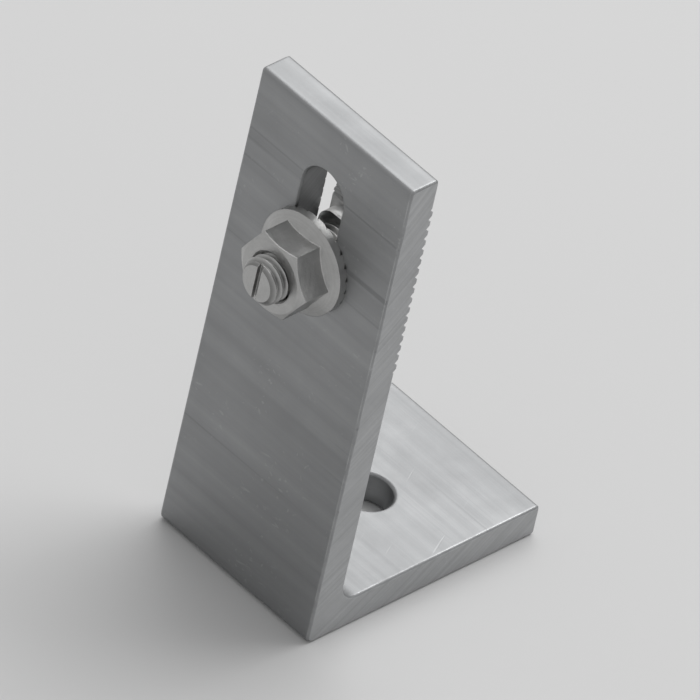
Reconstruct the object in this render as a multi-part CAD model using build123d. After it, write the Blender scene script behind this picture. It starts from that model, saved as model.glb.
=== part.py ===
from build123d import *
import math
import os

# Solar L-foot: a short length of aluminium extrusion, L-shaped in section, that stands on a roof and
# carries a mounting rail. Its base goes down on the roof under the rail. Its upright stands against the
# rail's side, held there by a hammer-head bolt through a slot and a flange nut on the outer face.
#
# Millimetres. +X runs along the rail, which is the extrusion's length. +Y points from the upright to the
# base's free end. +Z is up, away from the roof. The origin is the roof hole's axis at the base's
# underside.

# --- foot: the extruded section and how long it is cut ---
foot_height = 95.0
foot_width = 35.0
base_depth = 50.0
upright_thickness = 6.0
base_thickness = 6.0
inner_fillet = 4.0
heel_radius = 1.5
tip_radius = 0.8
saw_burr_chamfer = 0.35

# --- foot: gripping teeth across the rail side of the upright, part of the section ---
teeth_from_top = 5.0
teeth_band = 36.0
tooth_pitch = 2.0
tooth_depth = 0.6
tooth_valley_width = 1.2

# --- foot: holes ---
slot_width = 9.0
slot_length = 28.0
slot_from_top = 9.0
slot_chamfer = 0.4
roof_hole_diameter = 9.0
roof_hole_from_tip = 22.0
roof_hole_chamfer = 0.4

# --- rail fastening: M8 hammer-head bolt and flange nut ---
bolt_from_top = 27.0
bolt_diameter = 8.0
bolt_length = 20.0
bolt_tip_chamfer = 0.9
bolt_mark_width = 1.0
bolt_mark_depth = 0.8
rail_lip = 3.0
neck_clearance = 0.5
neck_side = 10.0
neck_corner_radius = 3.0
head_length = 22.0
head_width = 10.4
head_height = 4.2
head_turn_radius = 4.6
head_edge_chamfer = 0.5
head_grip_pitch = 1.2
head_grip_width = 0.7
head_grip_depth = 0.35
nut_across_flats = 13.0
nut_height = 8.0
flange_diameter = 17.9
flange_edge = 1.5
flange_slope_deg = 28.0
hex_top_inset = 0.3
hex_corner_slope_deg = 30.0
nut_mouth_chamfer = 0.5
lock_tooth_count = 24
lock_tooth_width = 0.9
lock_tooth_depth = 0.35
lock_seat_ring = 1.2

# --- places worked out from the sizes above ---
outer_face_y = roof_hole_from_tip - base_depth
rail_face_y = outer_face_y + upright_thickness
base_tip_y = roof_hole_from_tip
bolt_z = foot_height - bolt_from_top
slot_centre_z = foot_height - slot_from_top - slot_length / 2
head_seat_y = rail_face_y + rail_lip
nut_seat = Plane(origin=(0, outer_face_y, bolt_z), x_dir=(1, 0, 0), z_dir=(0, -1, 0))
head_seat = Plane(origin=(0, head_seat_y, bolt_z), x_dir=(1, 0, 0), z_dir=(0, 1, 0))


def foot_section():
    """The die's L shape in the Y-Z plane, with the teeth cut into its rail side."""
    outline = Polyline(
        (outer_face_y, 0),
        (base_tip_y, 0),
        (base_tip_y, base_thickness),
        (rail_face_y, base_thickness),
        (rail_face_y, foot_height),
        (outer_face_y, foot_height),
        close=True,
    )
    section = make_face(outline)
    corners = section.vertices()
    heel = corners.sort_by_distance((outer_face_y, 0, 0))[0]
    inside = corners.sort_by_distance((rail_face_y, base_thickness, 0))[0]
    tips = [corner for corner in corners if corner not in (heel, inside)]
    section = fillet(heel, heel_radius)
    inside = section.vertices().sort_by_distance((rail_face_y, base_thickness, 0))[0]
    section = fillet(inside, inner_fillet)
    for tip in tips:
        nearest = section.vertices().sort_by_distance(tip.center())[0]
        section = fillet(nearest, tip_radius)
    return section - tooth_valleys()


def tooth_valleys():
    """V-shaped valleys between the flat-topped gripping teeth."""
    valley = make_face(
        Polyline(
            (0, -tooth_valley_width / 2),
            (-tooth_depth, 0),
            (0, tooth_valley_width / 2),
            close=True,
        )
    )
    count = int(teeth_band / tooth_pitch)
    band_middle = foot_height - teeth_from_top - teeth_band / 2
    grid = GridLocations(0, tooth_pitch, 1, count)
    return [Pos(rail_face_y, band_middle) * place * valley for place in grid]


def flared_cutter(outline, depth, flare):
    """A cutter of the given outline from Z = 0 up to the depth, widened at 45 degrees at both faces."""
    core = extrude(outline, depth)
    mouth = extrude(offset(outline, flare), flare, taper=45)
    far_mouth = mirror(mouth, Plane.XY.offset(depth / 2))
    return core + mouth + far_mouth


def l_foot():
    """The L section at its sawn length, with the rail slot, the roof hole and its saw burrs taken off."""
    section = foot_section()
    foot = extrude(Plane.YZ * section, foot_width / 2, both=True)
    foot = chamfer(sawn_edges(foot), saw_burr_chamfer)
    slot_plane = Plane(origin=(0, rail_face_y, slot_centre_z), x_dir=(0, 0, 1), z_dir=(0, -1, 0))
    slot = flared_cutter(SlotOverall(slot_length, slot_width), upright_thickness, slot_chamfer)
    roof_hole = flared_cutter(Circle(roof_hole_diameter / 2), base_thickness, roof_hole_chamfer)
    return foot - slot_plane * slot - roof_hole


def sawn_edges(foot):
    """The edges of the two sawn ends, apart from those inside the band of teeth."""
    ends = foot.faces().filter_by(Axis.X)
    teeth_bottom = foot_height - teeth_from_top - teeth_band
    edges = ends.edges()
    return [
        edge
        for edge in edges
        if edge.center().Y < rail_face_y - tooth_depth or edge.center().Z < teeth_bottom
    ]


def hammer_bolt():
    """Bolt along Z: the hammer head from Z = 0 up, the neck and threaded shank below it."""
    blank = Rectangle(head_width, head_length)
    turning = [
        blank.vertices().sort_by_distance((head_width / 2, head_length / 2, 0))[0],
        blank.vertices().sort_by_distance((-head_width / 2, -head_length / 2, 0))[0],
    ]
    head = extrude(fillet(turning, head_turn_radius), head_height)
    head = chamfer(head.faces().sort_by(Axis.Z)[-1].edges(), head_edge_chamfer)
    head = head - head_grip()
    neck = extrude(RectangleRounded(neck_side, neck_side, neck_corner_radius), neck_clearance - rail_lip)
    shank = extrude(Circle(bolt_diameter / 2), -bolt_length)
    shank = chamfer(shank.faces().sort_by(Axis.Z)[0].edges(), bolt_tip_chamfer)
    mark = Pos(0, 0, -bolt_length) * Box(bolt_mark_width, bolt_diameter, 2 * bolt_mark_depth)
    return head + neck + (shank - mark)


def head_grip():
    """Grooves across the two bearing pads under the head, which bite on the rail's lips."""
    groove = make_face(
        Polyline(
            (-head_grip_width / 2, 0),
            (head_grip_width / 2, 0),
            (0, head_grip_depth),
            close=True,
        )
    )
    cutter = extrude(Plane.YZ * groove, head_width / 2, both=True)
    pad = (head_length - neck_side) / 2
    count = int(pad / head_grip_pitch) - 1
    pads = GridLocations(0, neck_side + pad, 1, 2)
    rows = GridLocations(0, head_grip_pitch, 1, count)
    return [pad_place * row * cutter for pad_place in pads for row in rows]


def flange_nut():
    """Hexagon nut with a sloping round flange, standing on Z = 0."""
    flat_radius = nut_across_flats / 2
    flange_radius = flange_diameter / 2
    slope_top = flange_edge + (flange_radius - bolt_diameter / 2) * tan_deg(flange_slope_deg)
    flange_profile = Polyline(
        (0, 0),
        (flange_radius, 0),
        (flange_radius, flange_edge),
        (bolt_diameter / 2, slope_top),
        (0, slope_top),
        close=True,
    )
    flange = revolve(Plane.XZ * make_face(flange_profile), Axis.Z)
    hexagon = extrude(RegularPolygon(flat_radius, 6, major_radius=False), nut_height)
    nut = flange + (hexagon & corner_cone(flat_radius)) - locking_teeth()
    return nut - flared_cutter(Circle(bolt_diameter / 2), nut_height, nut_mouth_chamfer)


def locking_teeth():
    """Ratchet valleys under the flange, outside a plain ring round the bore."""
    valley = make_face(
        Polyline(
            (-lock_tooth_width / 2, 0),
            (lock_tooth_width / 2, 0),
            (-lock_tooth_width / 2, lock_tooth_depth),
            close=True,
        )
    )
    inner_radius = bolt_diameter / 2 + nut_mouth_chamfer + lock_seat_ring
    cutter = extrude(Plane.YZ * valley, flange_diameter / 2)
    return [place * cutter for place in PolarLocations(inner_radius, lock_tooth_count)]


def corner_cone(flat_radius):
    """The turned cone that takes off the hexagon's top corners."""
    corner_radius = flat_radius / cos_deg(30)
    cone_top = flat_radius - hex_top_inset
    drop = (corner_radius - cone_top) * tan_deg(hex_corner_slope_deg)
    profile = Polyline(
        (0, 0),
        (corner_radius, 0),
        (corner_radius, nut_height - drop),
        (cone_top, nut_height),
        (0, nut_height),
        close=True,
    )
    return revolve(Plane.XZ * make_face(profile), Axis.Z)


def tan_deg(angle):
    return math.tan(math.radians(angle))


def cos_deg(angle):
    return math.cos(math.radians(angle))


os.makedirs("parts", exist_ok=True)
export_step(l_foot(), "parts/l_foot.step")
export_step(head_seat * hammer_bolt(), "parts/rail_bolt.step")
export_step(nut_seat * flange_nut(), "parts/flange_nut.step")
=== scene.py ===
import math

import bmesh
import bpy
from mathutils import Matrix, Vector


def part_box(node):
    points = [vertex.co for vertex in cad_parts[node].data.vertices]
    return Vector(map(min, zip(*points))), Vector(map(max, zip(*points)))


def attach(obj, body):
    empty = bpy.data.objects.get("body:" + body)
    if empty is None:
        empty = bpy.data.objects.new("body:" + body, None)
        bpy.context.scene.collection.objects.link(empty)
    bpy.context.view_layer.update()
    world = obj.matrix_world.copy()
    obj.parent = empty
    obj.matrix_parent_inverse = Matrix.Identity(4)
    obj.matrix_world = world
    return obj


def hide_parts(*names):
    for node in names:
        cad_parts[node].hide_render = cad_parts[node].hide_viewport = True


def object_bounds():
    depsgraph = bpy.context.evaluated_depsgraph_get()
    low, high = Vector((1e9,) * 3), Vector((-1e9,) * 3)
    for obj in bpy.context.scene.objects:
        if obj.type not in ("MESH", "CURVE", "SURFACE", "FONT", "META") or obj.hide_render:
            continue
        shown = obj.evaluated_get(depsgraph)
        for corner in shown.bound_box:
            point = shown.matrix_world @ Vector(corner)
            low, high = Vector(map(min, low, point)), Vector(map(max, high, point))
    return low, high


# Solar L-foot: extruded, anodised aluminium, with a stainless hammer-head bolt and flange nut.
# Metres. +X runs along the extrusion, +Y from the upright to the base's free end, +Z up.

MM = 0.001

# --- view ---
VIEW_AZIMUTH_DEG = 38.5
VIEW_ELEVATION_DEG = 40.0
VIEW_ROLL_DEG = 13.2
VIEW_DISTANCE = 4.64
VIEW_MARGIN = 1.2
SENSOR_MM = 36.0

# --- light ---
WORLD_LIGHT = 0.46
WORLD_SEEN = 0.8
WORLD_IN_GLOSS = 0.6
SKY_PANEL_SPOT = Vector((-0.38, 0.9, 1.58))
SKY_PANEL_SIDE = 2.0
SKY_PANEL_WATTS = 22.0
KEY_SPOT = Vector((0.25, 0.65, 1.35))
KEY_SIDE = 0.5
KEY_WATTS = 3.0
FLOOR_HALF_SIDE = 6.0
FLOOR_Z = -0.02 * MM  # just under the base, so that the two share no plane

# --- extrusion ---
UPRIGHT_THICKNESS = 6.0 * MM
TOOTH_DEPTH = 0.6 * MM
DIE_MARK_STRETCH = 75.0
SAW_AXLE = (0.0, -140.0 * MM, 190.0 * MM)
WORN_EDGE_RADIUS = 0.5 * MM
# each scuff's turn about X, Y and Z in radians, and how many times longer it is along each axis
UPRIGHT_SCUFFS = (
    ((0.6, 0.5, 0.0), (1.0, 1.0, 22.0)),
    ((-0.5, -0.95, 0.0), (1.0, 1.0, 22.0)),
    ((0.2, 1.35, 0.0), (1.0, 1.0, 22.0)),
)
LEVEL_SCUFF = ((0.0, 0.0, 0.45), (1.0, 22.0, 1.0))

# --- hammer bolt, M8 coarse thread ---
HEAD_HEIGHT = 4.2 * MM
NECK_HEIGHT = 2.5 * MM
THREAD_RADIUS = 4.0 * MM
THREAD_PITCH = 1.25 * MM
THREAD_DEPTH = 0.68 * MM
THREAD_CREST_SHARE = 0.125
THREAD_ROOT_SHARE = 0.25
THREAD_RUN_OUT = 1.5 * MM
TIP_CHAMFER = 0.9 * MM
MARK_WIDTH = 1.0 * MM
MARK_DEPTH = 0.8 * MM
THREAD_SEGMENTS = 72
THREAD_ROWS_PER_PITCH = 12
SHARP_EDGE_DEG = 25.0
WELD = 0.001 * MM
NECK_OVERLAP = 0.02 * MM
BURNISHED_EDGE_RADIUS = 0.25 * MM


def srgb(text):
    """A hex colour as linear RGBA."""
    channels = [int(text[i:i + 2], 16) / 255 for i in (0, 2, 4)]
    linear = [c / 12.92 if c <= 0.04045 else ((c + 0.055) / 1.055) ** 2.4 for c in channels]
    return (*linear, 1.0)


def per_size(size_mm):
    """A noise texture's Scale that gives a pattern of this size."""
    return 1 / (size_mm * MM)


def add(tree, kind, inputs=None, **settings):
    """Adds a node with its settings and returns its outputs. Each input is keyed by its name or number, and
    is set to a value or linked to an output, or to each of a list of outputs. A Mix node's two sides are
    inputs 2 and 3 for numbers, and 6 and 7 for colours."""
    node = tree.nodes.new(kind)
    for name, value in settings.items():
        setattr(node, name, value)
    for key, value in (inputs or {}).items():
        if isinstance(value, bpy.types.NodeSocket):
            tree.links.new(value, node.inputs[key])
        elif isinstance(value, list):
            for output in value:
                tree.links.new(output, node.inputs[key])
        else:
            node.inputs[key].default_value = value
    return node.outputs


def new_material(name):
    material = bpy.data.materials.new(name)
    material.use_nodes = True
    material.node_tree.nodes.clear()
    return material


# ---------------------------------------------------------------- what the metals share


def layered(tree, tone, layers):
    """The tone under a stack of colours, each with the cover that lays it on and that cover's strength."""
    for cover, strength, colour in layers:
        share = add(tree, "ShaderNodeMath", {0: cover, 1: strength}, operation="MULTIPLY")[0]
        tone = add(tree, "ShaderNodeMix", {0: share, 6: tone, 7: colour}, data_type="RGBA")[2]
    return tone


def changed(tree, start, changes):
    """The start with each change added where its cover is."""
    for cover, change in changes:
        start = add(tree, "ShaderNodeMath", {0: cover, 1: change, 2: start}, operation="MULTIPLY_ADD")[0]
    return start


def embossed(tree, normal, reliefs):
    """The normal with each relief in it, given as its height, strength and depth."""
    for height, strength, depth in reliefs:
        inputs = {"Height": height, "Strength": strength, "Distance": depth, "Normal": normal}
        normal = add(tree, "ShaderNodeBump", inputs)[0]
    return normal


def worn_edges(tree, spot, radius, patch_mm):
    """The rounded normal, and how far an edge is rubbed bright: where that normal leaves the face's own, in
    patches of the given size."""
    rounded = add(tree, "ShaderNodeBevel", {"Radius": radius}, samples=8)[0]
    face = add(tree, "ShaderNodeNewGeometry")["Normal"]
    same = add(tree, "ShaderNodeVectorMath", {0: rounded, 1: face}, operation="DOT_PRODUCT")["Value"]
    # the two normals are about 10 degrees apart where the wear begins, and 30 where it is full
    edge = add(tree, "ShaderNodeMapRange", {"Value": same, "From Min": 0.985, "From Max": 0.86})[0]
    rubbed = add(
        tree,
        "ShaderNodeTexNoise",
        {"Vector": spot, "Scale": per_size(patch_mm), "Detail": 5.0, "Roughness": 0.7},
    )[0]
    patches = add(tree, "ShaderNodeMapRange", {"Value": rubbed, "From Min": 0.38, "From Max": 0.6})[0]
    return rounded, add(tree, "ShaderNodeMath", {0: edge, 1: patches}, operation="MULTIPLY")[0]


def metal_surface(tree, tone, rough, normal):
    """The material's surface: metal of this tone, roughness and normal."""
    shader = add(
        tree,
        "ShaderNodeBsdfPrincipled",
        {"Base Color": tone, "Metallic": 1.0, "Roughness": rough, "Normal": normal},
    )[0]
    add(tree, "ShaderNodeOutputMaterial", {"Surface": shader})


# ---------------------------------------------------------------- anodised extrusion


def die_marks(tree, spot, sawn):
    """What the die leaves, each mark many times longer along X: streaks about 3 mm apart, lines about 0.8 mm
    apart, drawn that coarse so that they show, and a few deep lines, which stay off the sawn ends."""
    along = add(
        tree,
        "ShaderNodeMapping",
        {"Vector": spot, "Scale": (DIE_MARK_STRETCH, 1.0, 1.0)},
        vector_type="TEXTURE",
    )[0]
    streaks = add(
        tree,
        "ShaderNodeTexNoise",
        {"Vector": along, "Scale": per_size(3.0), "Detail": 3.0, "Roughness": 0.55},
    )[0]
    lines = add(
        tree,
        "ShaderNodeTexNoise",
        {"Vector": along, "Scale": per_size(0.8), "Detail": 4.0, "Roughness": 0.7},
    )[0]
    gouges = add(
        tree,
        "ShaderNodeTexNoise",
        {"Vector": along, "Scale": per_size(1.6), "Detail": 1.0, "Roughness": 0.4},
    )[0]
    deepest = add(tree, "ShaderNodeMapRange", {"Value": gouges, "From Min": 0.66, "From Max": 0.74})[0]
    unsawn = add(tree, "ShaderNodeMath", {0: 1.0, 1: sawn}, operation="SUBTRACT")[0]
    deep = add(tree, "ShaderNodeMath", {0: deepest, 1: unsawn}, operation="MULTIPLY")[0]
    return streaks, lines, deep


def saw_arcs(tree, spot):
    """What the cold saw leaves: uneven rings about its axle, drawn 0.9 mm apart so that they show."""
    from_axle = add(tree, "ShaderNodeVectorMath", {0: spot, 1: SAW_AXLE}, operation="SUBTRACT")[0]
    in_cut = add(tree, "ShaderNodeVectorMath", {0: from_axle, 1: (0.0, 1.0, 1.0)}, operation="MULTIPLY")[0]
    ring = add(tree, "ShaderNodeVectorMath", {0: in_cut}, operation="LENGTH")["Value"]
    return add(
        tree,
        "ShaderNodeTexNoise",
        {"W": ring, "Scale": per_size(0.9), "Detail": 4.0, "Roughness": 0.7},
        noise_dimensions="1D",
    )[0]


def hair_scuffs(tree, spot, level):
    """What handling leaves: short hair scuffs in patches, slanting each way on upright faces and near Y on
    level ones."""
    hairs = []
    for turn, lengths in (*UPRIGHT_SCUFFS, LEVEL_SCUFF):
        slanted = add(
            tree,
            "ShaderNodeMapping",
            {"Vector": spot, "Scale": lengths, "Rotation": turn},
            vector_type="TEXTURE",
        )[0]
        noise = add(tree, "ShaderNodeTexNoise", {"Vector": slanted, "Scale": per_size(0.6), "Detail": 0.0})[0]
        peaks = add(tree, "ShaderNodeMapRange", {"Value": noise, "From Min": 0.76, "From Max": 0.8})[0]
        hairs.append(peaks)
    *on_upright, on_level = hairs
    upright = 0.0
    for peaks in on_upright:
        upright = add(tree, "ShaderNodeMath", {0: peaks, 1: upright}, operation="MAXIMUM")[0]
    every = add(tree, "ShaderNodeMix", {0: level, 2: upright, 3: on_level}, data_type="FLOAT")[0]
    handled = add(tree, "ShaderNodeTexNoise", {"Vector": spot, "Scale": per_size(9.0), "Detail": 2.0})[0]
    patches = add(tree, "ShaderNodeMapRange", {"Value": handled, "From Min": 0.5, "From Max": 0.62})[0]
    return add(tree, "ShaderNodeMath", {0: every, 1: patches}, operation="MULTIPLY")[0]


def tooth_valley_painted_shade(tree, spot, facing, tooth_crest_y):
    """Painted shade that deepens below the crests' plane, on faces that look towards the rail."""
    depth = add(tree, "ShaderNodeSeparateXYZ", {0: spot})["Y"]
    below = add(
        tree,
        "ShaderNodeMapRange",
        {"Value": depth, "From Min": tooth_crest_y, "From Max": tooth_crest_y - TOOTH_DEPTH},
    )[0]
    turned_in = add(tree, "ShaderNodeMapRange", {"Value": facing["Y"], "From Min": 0.5, "From Max": 0.6})[0]
    return add(tree, "ShaderNodeMath", {0: below, 1: turned_in}, operation="MULTIPLY")[0]


def anodised_extrusion(tooth_crest_y):
    """6063 aluminium as extruded, etched and clear anodised. The etch gives a satin sheen with cloudy
    patches, the die leaves straight streaks and fine lines along X, the cold saw leaves arcs across the two
    cut ends, painted shade darkens the tooth valleys, and handling rubs the edges brighter and scuffs the
    faces."""
    material = new_material("anodised_aluminium_extrusion")
    tree = material.node_tree
    place = add(tree, "ShaderNodeTexCoord")
    spot = place["Object"]
    facing = add(tree, "ShaderNodeSeparateXYZ", {0: place["Normal"]})
    across = add(tree, "ShaderNodeMath", {0: facing["X"]}, operation="ABSOLUTE")[0]
    sawn = add(tree, "ShaderNodeMapRange", {"Value": across, "From Min": 0.75, "From Max": 0.95})[0]
    upward = add(tree, "ShaderNodeMath", {0: facing["Z"]}, operation="ABSOLUTE")[0]
    level = add(tree, "ShaderNodeMapRange", {"Value": upward, "From Min": 0.5, "From Max": 0.7})[0]

    streaks, lines, deep = die_marks(tree, spot, sawn)
    arcs = saw_arcs(tree, spot)
    scuffs = hair_scuffs(tree, spot, level)
    rounded, wear = worn_edges(tree, spot, WORN_EDGE_RADIUS, 5.0)
    # painted shade in the tooth valleys below the crests' plane
    painted_tooth_shade = tooth_valley_painted_shade(tree, spot, facing, tooth_crest_y)

    # the etch: grain of 0.4 mm, drawn coarser than it is so that it shows, and clouds of 12 mm
    grain = add(
        tree,
        "ShaderNodeTexNoise",
        {"Vector": spot, "Scale": per_size(0.4), "Detail": 4.0, "Roughness": 0.7},
    )[0]
    etch = add(
        tree,
        "ShaderNodeTexNoise",
        {"Vector": spot, "Scale": per_size(12.0), "Detail": 4.0, "Roughness": 0.6},
    )[0]
    clouds = add(tree, "ShaderNodeMapRange", {"Value": etch, "From Min": 0.3, "From Max": 0.7})[0]

    cut = add(
        tree,
        "ShaderNodeMix",
        {0: arcs, 6: srgb("A0A1A2"), 7: srgb("C6C7C8")},
        data_type="RGBA",
    )[2]
    tone = layered(
        tree,
        srgb("828384"),
        (
            (streaks, 1.0, srgb("ADAEAF")),
            (lines, 0.55, srgb("9C9D9E")),
            (sawn, 1.0, cut),
            (deep, 0.45, srgb("6E6F70")),
            (clouds, 0.22, srgb("929394")),
            # painted shade: a dark grey laid into the tooth valleys
            (painted_tooth_shade, 0.6, srgb("5A5A5A")),
            (scuffs, 0.3, srgb("BFC0C1")),
            (wear, 1.0, srgb("CDCECF")),
        ),
    )
    rough = changed(tree, 0.33, ((clouds, 0.12), (lines, 0.16), (sawn, 0.05), (wear, -0.14)))
    marks = add(tree, "ShaderNodeMix", {0: sawn, 2: lines, 3: arcs}, data_type="FLOAT")[0]
    marks = changed(tree, marks, ((deep, -0.5), (scuffs, -0.3)))
    normal = embossed(tree, rounded, ((grain, 0.35, 0.03 * MM), (marks, 0.8, 0.06 * MM)))
    metal_surface(tree, tone, rough, normal)
    return material


# ---------------------------------------------------------------- stainless fasteners


def cold_forged_stainless(name, axle_z, tones):
    """A2 stainless steel, headed and rolled cold. Tooling leaves a close satin with faint turned rings about
    the bolt's axle, corners are burnished bright, and painted shade darkens the thread valleys."""
    material = new_material(name)
    tree = material.node_tree
    place = add(tree, "ShaderNodeTexCoord")
    spot = place["Object"]
    from_axle = add(tree, "ShaderNodeVectorMath", {0: spot, 1: (0.0, 0.0, axle_z)}, operation="SUBTRACT")[0]
    flat = add(tree, "ShaderNodeVectorMath", {0: from_axle, 1: (1.0, 0.0, 1.0)}, operation="MULTIPLY")[0]
    ring = add(tree, "ShaderNodeVectorMath", {0: flat}, operation="LENGTH")["Value"]

    # turned rings 0.3 mm apart and forging grain of 0.4 mm, both drawn coarser than they are so that they
    # show, and blotches of 3 mm
    turned = add(
        tree,
        "ShaderNodeTexNoise",
        {"W": ring, "Scale": per_size(0.3), "Detail": 2.0},
        noise_dimensions="1D",
    )[0]
    grain = add(
        tree,
        "ShaderNodeTexNoise",
        {"Vector": spot, "Scale": per_size(0.4), "Detail": 4.0, "Roughness": 0.65},
    )[0]
    blotches = add(
        tree,
        "ShaderNodeTexNoise",
        {"Vector": spot, "Scale": per_size(3.0), "Detail": 4.0, "Roughness": 0.65},
    )[0]
    rounded, wear = worn_edges(tree, spot, BURNISHED_EDGE_RADIUS, 1.5)

    # painted shade lies between the thread's root and crest, and not on the tip's flat end
    facing = add(tree, "ShaderNodeSeparateXYZ", {0: place["Normal"]})
    along = add(tree, "ShaderNodeMath", {0: facing["Y"]}, operation="ABSOLUTE")[0]
    on_thread = add(tree, "ShaderNodeMapRange", {"Value": along, "From Min": 0.96, "From Max": 0.9})[0]
    valley = add(
        tree,
        "ShaderNodeMapRange",
        {"Value": ring, "From Min": THREAD_RADIUS, "From Max": THREAD_RADIUS - THREAD_DEPTH},
    )[0]
    painted_thread_shade = add(tree, "ShaderNodeMath", {0: on_thread, 1: valley}, operation="MULTIPLY")[0]

    tone = layered(
        tree,
        srgb(tones[0]),
        (
            (blotches, 1.0, srgb(tones[1])),
            (turned, 0.4, srgb("9A9A99")),
            # painted shade: a dark grey laid into the thread valleys
            (painted_thread_shade, 0.55, srgb("474645")),
            (wear, 0.8, srgb("D2D1D0")),
        ),
    )
    satin = add(
        tree,
        "ShaderNodeMapRange",
        {"Value": grain, "From Min": 0.3, "From Max": 0.7, "To Min": 0.28, "To Max": 0.46},
    )[0]
    rough = changed(tree, satin, ((wear, -0.1),))
    normal = embossed(
        tree,
        rounded,
        ((blotches, 0.5, 0.2 * MM), (grain, 0.55, 0.04 * MM), (turned, 0.25, 0.02 * MM)),
    )
    metal_surface(tree, tone, rough, normal)
    return material


def pale_floor():
    """Matt pale grey sheet."""
    material = new_material("matt_pale_floor")
    tree = material.node_tree
    shader = add(tree, "ShaderNodeBsdfPrincipled", {"Base Color": srgb("D4D4D4"), "Roughness": 0.9})[0]
    add(tree, "ShaderNodeOutputMaterial", {"Surface": shader})
    return material


# ---------------------------------------------------------------- hammer bolt with its rolled thread


def thread_tree():
    """Geometry Nodes: a rolled thread about -Y with a chamfered, marked tip, joined to the head that comes
    in."""
    tree = bpy.data.node_groups.new("rolled_thread", "GeometryNodeTree")
    sockets = (
        ("NodeSocketGeometry", ("Head",)),
        ("NodeSocketFloat", ("Radius", "Pitch", "Depth", "Length", "Run Out", "Tip Chamfer")),
        ("NodeSocketFloat", ("Mark Width", "Mark Depth", "Weld")),
        ("NodeSocketInt", ("Segments", "Rows")),
        ("NodeSocketVector", ("Start",)),
        ("NodeSocketMaterial", ("Finish",)),
    )
    for kind, names in sockets:
        for name in names:
            tree.interface.new_socket(name, in_out="INPUT", socket_type=kind)
    tree.interface.new_socket("Bolt", in_out="OUTPUT", socket_type="NodeSocketGeometry")
    size = add(tree, "NodeGroupInput")

    # a unit grid: u goes round the shank, and row counts down it with a closing row at each end
    grid = add(
        tree,
        "GeometryNodeMeshGrid",
        {"Size X": 1.0, "Size Y": 1.0, "Vertices X": size["Segments"], "Vertices Y": size["Rows"]},
    )["Mesh"]
    where = add(tree, "ShaderNodeSeparateXYZ", {0: add(tree, "GeometryNodeInputPosition")[0]})
    u = add(tree, "ShaderNodeMath", {0: where["X"], 1: 0.5}, operation="ADD")[0]
    v = add(tree, "ShaderNodeMath", {0: where["Y"], 1: 0.5}, operation="ADD")[0]
    last_row = add(tree, "ShaderNodeMath", {0: size["Rows"], 1: 1.0}, operation="SUBTRACT")[0]
    row = add(tree, "ShaderNodeMath", {0: v, 1: last_row}, operation="MULTIPLY")[0]
    tip_row = add(tree, "ShaderNodeMath", {0: last_row, 1: 1.0}, operation="SUBTRACT")[0]
    down = add(
        tree,
        "ShaderNodeMapRange",
        {"Value": row, "From Min": 1.0, "From Max": tip_row, "To Max": size["Length"]},
    )[0]

    # thread form: a narrow crest and a wider root, with 60 degrees between the flanks
    pitches = add(tree, "ShaderNodeMath", {0: down, 1: size["Pitch"]}, operation="DIVIDE")[0]
    turns = add(tree, "ShaderNodeMath", {0: pitches, 1: u}, operation="SUBTRACT")[0]
    part = add(tree, "ShaderNodeMath", {0: turns}, operation="FRACT")[0]
    from_crest = add(tree, "ShaderNodeMath", {0: part, 1: 0.5}, operation="SUBTRACT")[0]
    off_crest = add(tree, "ShaderNodeMath", {0: from_crest}, operation="ABSOLUTE")[0]
    flank = add(
        tree,
        "ShaderNodeMapRange",
        {"Value": off_crest, "From Min": THREAD_CREST_SHARE / 2, "From Max": (1 - THREAD_ROOT_SHARE) / 2},
    )[0]
    formed = add(
        tree,
        "ShaderNodeMapRange",
        {"Value": down, "From Max": size["Run Out"], "To Max": size["Depth"]},
    )[0]
    cut = add(tree, "ShaderNodeMath", {0: flank, 1: formed}, operation="MULTIPLY")[0]
    threaded = add(tree, "ShaderNodeMath", {0: size["Radius"], 1: cut}, operation="SUBTRACT")[0]
    to_tip = add(tree, "ShaderNodeMath", {0: size["Length"], 1: down}, operation="SUBTRACT")[0]
    tip_radius = add(
        tree,
        "ShaderNodeMath",
        {0: size["Radius"], 1: size["Tip Chamfer"]},
        operation="SUBTRACT",
    )[0]
    cone = add(tree, "ShaderNodeMath", {0: tip_radius, 1: to_tip}, operation="ADD")[0]
    outside = add(tree, "ShaderNodeMath", {0: threaded, 1: cone}, operation="MINIMUM")[0]

    # the closing rows come in to the axle
    past_start = add(tree, "ShaderNodeMath", {0: row, 1: 0.5}, operation="GREATER_THAN")[0]
    past_end = add(tree, "ShaderNodeMath", {0: tip_row, 1: 0.5}, operation="ADD")[0]
    before_end = add(tree, "ShaderNodeMath", {0: row, 1: past_end}, operation="LESS_THAN")[0]
    open_row = add(tree, "ShaderNodeMath", {0: past_start, 1: before_end}, operation="MULTIPLY")[0]
    radius = add(tree, "ShaderNodeMath", {0: outside, 1: open_row}, operation="MULTIPLY")[0]

    angle = add(tree, "ShaderNodeMath", {0: u, 1: math.tau}, operation="MULTIPLY")[0]
    cosine = add(tree, "ShaderNodeMath", {0: angle}, operation="COSINE")[0]
    sine = add(tree, "ShaderNodeMath", {0: angle}, operation="SINE")[0]
    x = add(tree, "ShaderNodeMath", {0: radius, 1: cosine}, operation="MULTIPLY")[0]
    y = add(tree, "ShaderNodeMath", {0: down, 1: -1.0}, operation="MULTIPLY")[0]
    z = add(tree, "ShaderNodeMath", {0: radius, 1: sine}, operation="MULTIPLY")[0]
    point = add(tree, "ShaderNodeCombineXYZ", {"X": x, "Y": y, "Z": z})[0]
    placed = add(tree, "ShaderNodeVectorMath", {0: point, 1: size["Start"]}, operation="ADD")[0]
    rolled = add(tree, "GeometryNodeSetPosition", {"Geometry": grid, "Position": placed})[0]
    closed = add(tree, "GeometryNodeMergeByDistance", {"Geometry": rolled, "Distance": size["Weld"]})[0]

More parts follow.
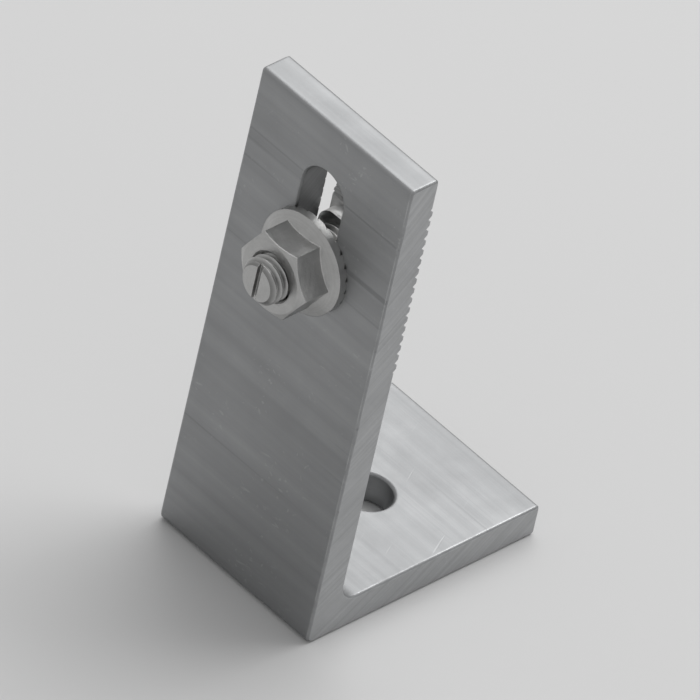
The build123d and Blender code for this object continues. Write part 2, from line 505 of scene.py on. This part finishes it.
    # the mark across the tip, which shows which way the head is turned, cut by a block that is longer than
    # the mark and half out of the shank
    across = add(tree, "ShaderNodeMath", {0: size["Radius"], 1: 3.0}, operation="MULTIPLY")[0]
    deep = add(tree, "ShaderNodeMath", {0: size["Mark Depth"], 1: 2.0}, operation="MULTIPLY")[0]
    block_size = add(tree, "ShaderNodeCombineXYZ", {"X": size["Mark Width"], "Y": deep, "Z": across})[0]
    block = add(tree, "GeometryNodeMeshCube", {"Size": block_size})["Mesh"]
    tip_y = add(tree, "ShaderNodeMath", {0: size["Length"], 1: -1.0}, operation="MULTIPLY")[0]
    tip = add(tree, "ShaderNodeCombineXYZ", {"Y": tip_y})[0]
    tip_place = add(tree, "ShaderNodeVectorMath", {0: tip, 1: size["Start"]}, operation="ADD")[0]
    cutter = add(tree, "GeometryNodeTransform", {"Geometry": block, "Translation": tip_place})[0]
    marked = add(
        tree,
        "GeometryNodeMeshBoolean",
        {"Mesh 1": closed, "Mesh 2": cutter},
        operation="DIFFERENCE",
        solver="EXACT",
    )[0]
    bolt = add(
        tree,
        "GeometryNodeMeshBoolean",
        {"Mesh 2": [marked, size["Head"]]},
        operation="UNION",
        solver="EXACT",
    )[0]
    whole = add(tree, "GeometryNodeRealizeInstances", {"Geometry": bolt})[0]
    finished = add(tree, "GeometryNodeSetMaterial", {"Geometry": whole, "Material": size["Finish"]})[0]
    add(tree, "NodeGroupOutput", {"Bolt": finished})
    return tree


def forged_head(cad_bolt):
    """The hammer head and its neck, closed where the shank begins."""
    form = bmesh.new()
    form.from_mesh(cad_bolt.data)
    bmesh.ops.remove_doubles(form, verts=form.verts, dist=WELD)
    neck_end = max(vert.co.y for vert in form.verts) - HEAD_HEIGHT - NECK_HEIGHT
    cut = bmesh.ops.bisect_plane(
        form,
        geom=form.verts[:] + form.edges[:] + form.faces[:],
        plane_co=(0, neck_end + NECK_OVERLAP, 0),
        plane_no=(0, 1, 0),
        clear_inner=True,
    )
    rim = [item for item in cut["geom_cut"] if isinstance(item, bmesh.types.BMEdge)]
    bmesh.ops.edgeloop_fill(form, edges=rim)
    bmesh.ops.recalc_face_normals(form, faces=form.faces)
    mesh = bpy.data.meshes.new("forged_head")
    form.to_mesh(mesh)
    form.free()
    return mesh


def geometry_nodes_mesh(holder, tree, values):
    """The plain mesh that the tree makes on the holder with these input values."""
    modifier = holder.modifiers.new(tree.name, "NODES")
    modifier.node_group = tree
    for item in tree.interface.items_tree:
        if item.in_out == "INPUT" and item.name in values:
            modifier[item.identifier] = values[item.name]
    view = bpy.context.evaluated_depsgraph_get()
    mesh = bpy.data.meshes.new_from_object(holder.evaluated_get(view))
    holder.modifiers.remove(modifier)
    return mesh


def threaded_bolt(cad_bolt, axle_z, finish):
    """The CAD bolt's head and neck on a threaded shank, in the CAD bolt's own box. The shank starts halfway
    up the neck, so that the two join."""
    low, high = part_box("rail_bolt")
    start = Vector((0, high.y - HEAD_HEIGHT - NECK_HEIGHT / 2, axle_z))
    length = start.y - low.y
    rows = int(length / THREAD_PITCH * THREAD_ROWS_PER_PITCH) + 1
    values = {
        "Radius": THREAD_RADIUS,
        "Pitch": THREAD_PITCH,
        "Depth": THREAD_DEPTH,
        "Length": length,
        "Run Out": THREAD_RUN_OUT,
        "Tip Chamfer": TIP_CHAMFER,
        "Mark Width": MARK_WIDTH,
        "Mark Depth": MARK_DEPTH,
        "Weld": WELD,
        "Segments": THREAD_SEGMENTS + 1,
        "Rows": rows + 2,
        "Start": start,
        "Finish": finish,
    }
    blank = bpy.data.objects.new("bolt_blank", forged_head(cad_bolt))
    bpy.context.scene.collection.objects.link(blank)
    rolled = geometry_nodes_mesh(blank, thread_tree(), values)
    bpy.data.objects.remove(blank)
    for face in rolled.polygons:
        face.use_smooth = True
    rolled.set_sharp_from_angle(angle=math.radians(SHARP_EDGE_DEG))
    bolt = bpy.data.objects.new("threaded_bolt", rolled)
    bpy.context.scene.collection.objects.link(bolt)
    return bolt


# ---------------------------------------------------------------- stage


def build_stage(centre):
    mesh = bpy.data.meshes.new("floor")
    half = FLOOR_HALF_SIDE
    corners = [(x, y, FLOOR_Z) for x, y in ((-half, -half), (half, -half), (half, half), (-half, half))]
    mesh.from_pydata(corners, [], [(0, 1, 2, 3)])
    mesh.materials.append(pale_floor())
    floor = bpy.data.objects.new("floor", mesh)
    bpy.context.scene.collection.objects.link(floor)

    bpy.context.scene.world = studio_world()
    softbox("sky_panel", SKY_PANEL_SPOT, centre, SKY_PANEL_SIDE, SKY_PANEL_WATTS)
    softbox("key", KEY_SPOT, centre, KEY_SIDE, KEY_WATTS)


def studio_world():
    """Even grey surroundings that light the object softly, and look pale to the view and in gloss."""
    world = bpy.data.worlds.new("studio")
    world.use_nodes = True
    tree = world.node_tree
    tree.nodes.clear()
    ray = add(tree, "ShaderNodeLightPath")
    strength = WORLD_LIGHT
    for kind, seen in (
        ("Is Glossy Ray", WORLD_IN_GLOSS),
        ("Is Transmission Ray", WORLD_SEEN),
        ("Is Camera Ray", WORLD_SEEN),
    ):
        strength = add(tree, "ShaderNodeMix", {0: ray[kind], 2: strength, 3: seen}, data_type="FLOAT")[0]
    background = add(tree, "ShaderNodeBackground", {"Color": (1, 1, 1, 1), "Strength": strength})[0]
    add(tree, "ShaderNodeOutputWorld", {"Surface": background})
    return world


def softbox(name, spot, aim, side, watts):
    lamp = bpy.data.lights.new(name, "AREA")
    lamp.shape = "SQUARE"
    lamp.size = side
    lamp.energy = watts
    holder = bpy.data.objects.new(name, lamp)
    holder.location = spot
    holder.rotation_euler = (aim - spot).to_track_quat("-Z", "Y").to_euler()
    bpy.context.scene.collection.objects.link(holder)


def build_camera(nodes):
    """A long lens from in front and above, rolled so that the upright leans right, framed on the nodes."""
    azimuth = math.radians(VIEW_AZIMUTH_DEG)
    elevation = math.radians(VIEW_ELEVATION_DEG)
    roll = math.radians(VIEW_ROLL_DEG)
    back = Vector((
        math.sin(azimuth) * math.cos(elevation),
        -math.cos(azimuth) * math.cos(elevation),
        math.sin(elevation),
    ))
    level = Vector((0, 0, 1)).cross(back).normalized()
    upright = back.cross(level)
    right = level * math.cos(roll) + upright * math.sin(roll)
    up = upright * math.cos(roll) - level * math.sin(roll)

    points = [vert.co for node in nodes for vert in node.data.vertices]
    aim = Vector()
    spans = []
    for axis in (right, up, back):
        reach = [point.dot(axis) for point in points]
        aim += axis * (min(reach) + max(reach)) / 2
        spans.append(max(reach) - min(reach))

    lens = bpy.data.cameras.new("view")
    lens.sensor_width = SENSOR_MM
    lens.lens = SENSOR_MM * VIEW_DISTANCE / (max(spans[:2]) * VIEW_MARGIN)
    lens.clip_end = 100.0
    camera = bpy.data.objects.new("view", lens)
    turn = Matrix((right, up, back)).transposed().to_4x4()
    camera.matrix_world = Matrix.Translation(aim + back * VIEW_DISTANCE) @ turn
    bpy.context.scene.collection.objects.link(camera)
    bpy.context.scene.camera = camera


# ---------------------------------------------------------------- main

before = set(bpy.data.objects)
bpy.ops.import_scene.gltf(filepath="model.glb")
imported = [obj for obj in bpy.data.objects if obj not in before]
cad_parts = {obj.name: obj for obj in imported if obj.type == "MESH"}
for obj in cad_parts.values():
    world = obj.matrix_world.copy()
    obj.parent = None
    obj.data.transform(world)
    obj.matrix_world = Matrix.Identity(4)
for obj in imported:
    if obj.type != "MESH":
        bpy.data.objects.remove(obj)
cad_low, cad_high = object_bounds()
bolt_low, bolt_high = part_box("rail_bolt")
bolt_axle_z = (bolt_low.z + bolt_high.z) / 2
tooth_crest_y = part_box("l_foot")[0].y + UPRIGHT_THICKNESS

build_camera(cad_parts.values())
build_stage((cad_low + cad_high) / 2)

finishes = {
    "l_foot": anodised_extrusion(tooth_crest_y),
    "rail_bolt": cold_forged_stainless("cold_headed_stainless", bolt_axle_z, ("AAAAA9", "D0D0CF")),
    "flange_nut": cold_forged_stainless("cold_forged_stainless_nut", bolt_axle_z, ("A8A8A7", "CCCCCB")),
}
for node_name, finish in finishes.items():
    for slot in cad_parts[node_name].material_slots:
        slot.material = finish

bolt = threaded_bolt(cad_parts["rail_bolt"], bolt_axle_z, finishes["rail_bolt"])
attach(bolt, "root")
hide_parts("rail_bolt")

bpy.context.scene.view_settings.view_transform = "Standard"
